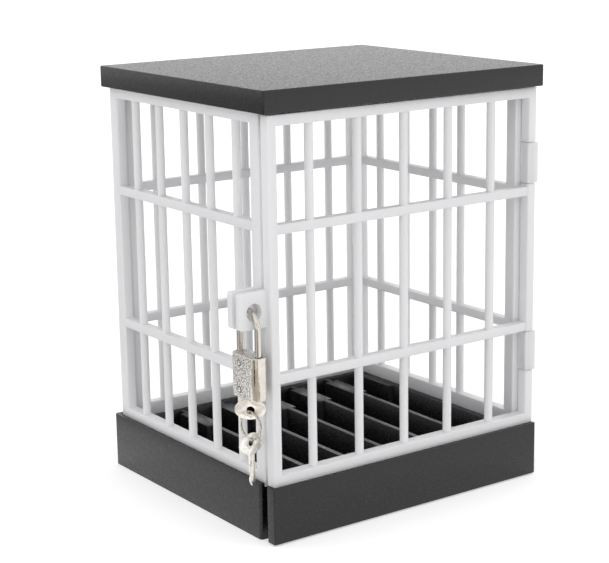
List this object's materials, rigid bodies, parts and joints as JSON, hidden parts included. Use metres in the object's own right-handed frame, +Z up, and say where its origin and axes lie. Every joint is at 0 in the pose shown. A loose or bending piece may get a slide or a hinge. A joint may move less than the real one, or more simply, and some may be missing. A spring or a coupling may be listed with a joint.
{
  "type": "timed lock container",
  "caption": "Barred lock-up cage for phones with ribbed base, slip-on lid, hinged front door and a hasp shut by a small keyed padlock.",
  "frame": {"origin": "centre of the base's underside, on the face that stands on the table", "axes": "+Z up, the door faces -Y, the hinge is at +X and the hasp at -X"},
  "size_m": [0.1775, 0.1496, 0.21],
  "materials": {
    "black_plastic": "fine matt grain, mould texture",
    "white_plastic": "smooth satin moulding",
    "shackle_steel": "polished plating",
    "case_nickel": "brushed nickel with polished ends",
    "plug_brass": "turned",
    "key_steel": "stamped and plated"
  },
  "bodies": {
    "cage": {"base_tray": "black_plastic", "lid": "black_plastic", "left_panel": "white_plastic", "right_panel": "white_plastic", "back_panel": "white_plastic"},
    "door": {"door_grille": "white_plastic", "door_skirt": "black_plastic"},
    "lock_shackle": {"shackle": "shackle_steel"},
    "lock_case": {"padlock_case": "case_nickel", "padlock_base_plate": "case_nickel", "heel_pin": "shackle_steel", "shackle_spring": "shackle_steel"},
    "lock_latch": {"latch_bolt": "plug_brass"},
    "lock_cylinder": {"lock_plug": "plug_brass", "wafer_1": "plug_brass", "wafer_2": "plug_brass", "wafer_3": "plug_brass", "wafer_4": "plug_brass", "lock_key": "key_steel"},
    "ring": {"key_ring": "key_steel"},
    "second_key": {"spare_key": "key_steel"}
  },
  "joints": [
    {"name": "door_hinge", "type": "hinge", "parent": "cage", "child": "door", "pos_m": [0.0792, -0.06805, 0.1], "axis": [0, 0, 1], "range_deg": [-1, 99]},
    {"name": "lock_swing", "type": "hinge", "parent": "door", "child": "lock_shackle", "pos_m": [-0.0867, -0.06605, 0.11115], "axis": [0, 1, 0], "range_deg": [0, 90]},
    {"name": "case_drop", "type": "slide", "parent": "lock_shackle", "child": "lock_case", "axis": [0, 0, -1], "range_m": [0, 0.0073]},
    {"name": "latch_slide", "type": "slide", "parent": "lock_case", "child": "lock_latch", "axis": [0, 1, 0], "range_m": [0, 0.00297]},
    {"name": "key_turn", "type": "hinge", "parent": "lock_case", "child": "lock_cylinder", "pos_m": [-0.0867, -0.06605, 0.075], "axis": [0, 0, -1], "range_deg": [0, 90]},
    {"name": "ring_swing", "type": "hinge", "parent": "lock_cylinder", "child": "ring", "pos_m": [-0.0867, -0.06605, 0.06345], "axis": [0.9848, 0.1736, 0], "range_deg": [-6, 6]},
    {"name": "spare_swing", "type": "hinge", "parent": "ring", "child": "second_key", "pos_m": [-0.0867, -0.06605, 0.05055], "axis": [0.1736, -0.9848, 0], "range_deg": [-25, 4]}
  ],
  "couplings": [
    {"joint": "key_turn", "follows": "case_drop", "rad_per_m": 215.07},
    {"joint": "latch_slide", "follows": "case_drop", "ratio": 0.40665}
  ]
}
